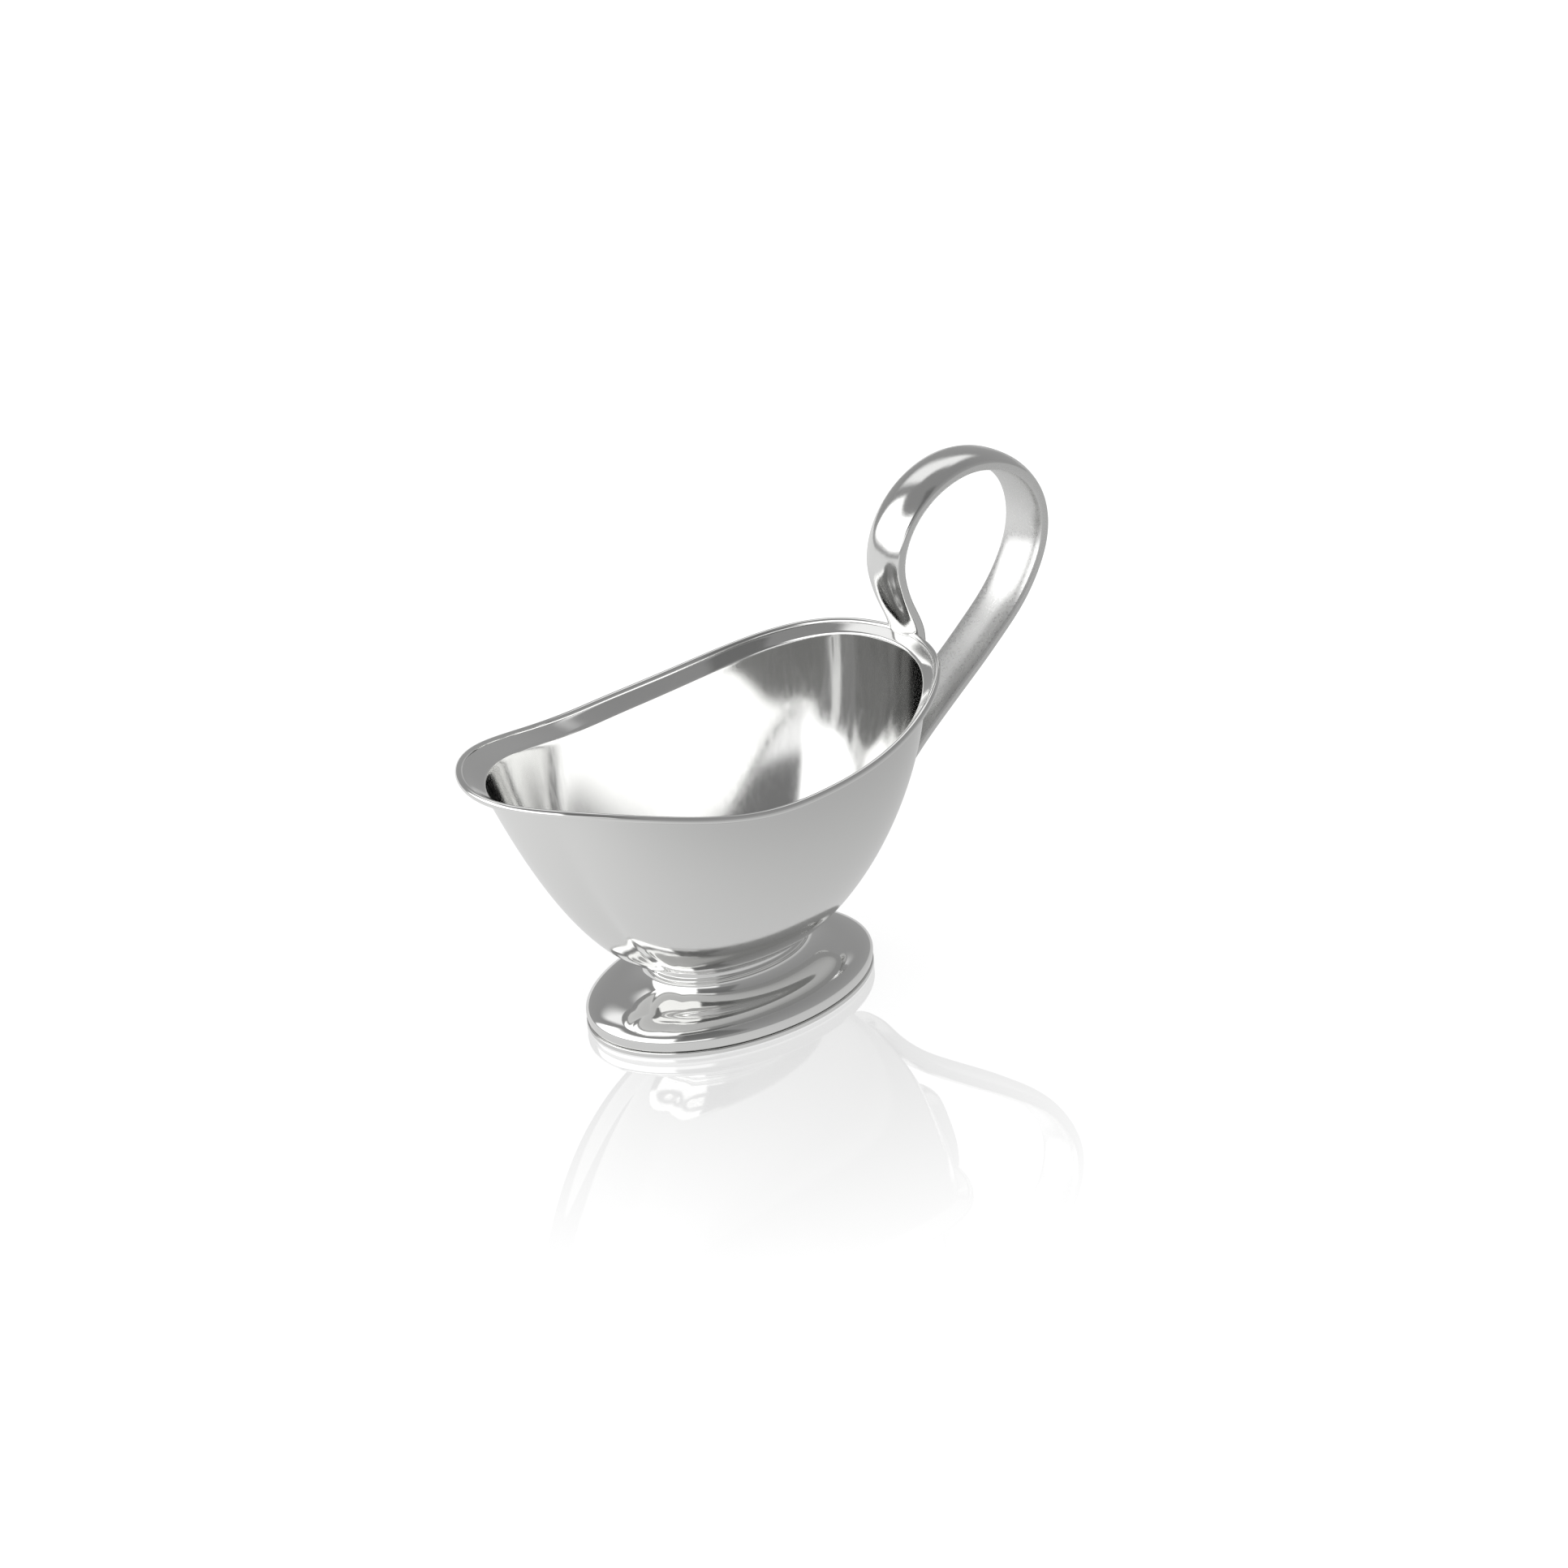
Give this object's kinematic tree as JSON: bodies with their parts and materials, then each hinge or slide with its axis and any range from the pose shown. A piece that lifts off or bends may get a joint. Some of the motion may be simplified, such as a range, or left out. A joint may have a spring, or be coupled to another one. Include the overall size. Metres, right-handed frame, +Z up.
{
  "type": "sauce boat",
  "caption": "Footed sauce boat in polished silver plate: boat-shaped bowl with a flared pouring lip, looped strap handle and oval pedestal foot.",
  "frame": {"origin": "under the middle of the overall length, in the plane that the foot rests on", "axes": "+X from the pouring lip towards the handle, +Y across the boat, +Z up"},
  "size_m": [0.205, 0.0928, 0.13],
  "materials": {
    "polished_silver": "mirror polished silver plate",
    "cast_silver": "polished cast silver, softly brushed on the inner face"
  },
  "bodies": {
    "root": {"bowl": "polished_silver", "rim_wire": "polished_silver", "foot": "polished_silver", "foot_base_band": "polished_silver", "handle": "cast_silver"}
  },
  "joints": []
}
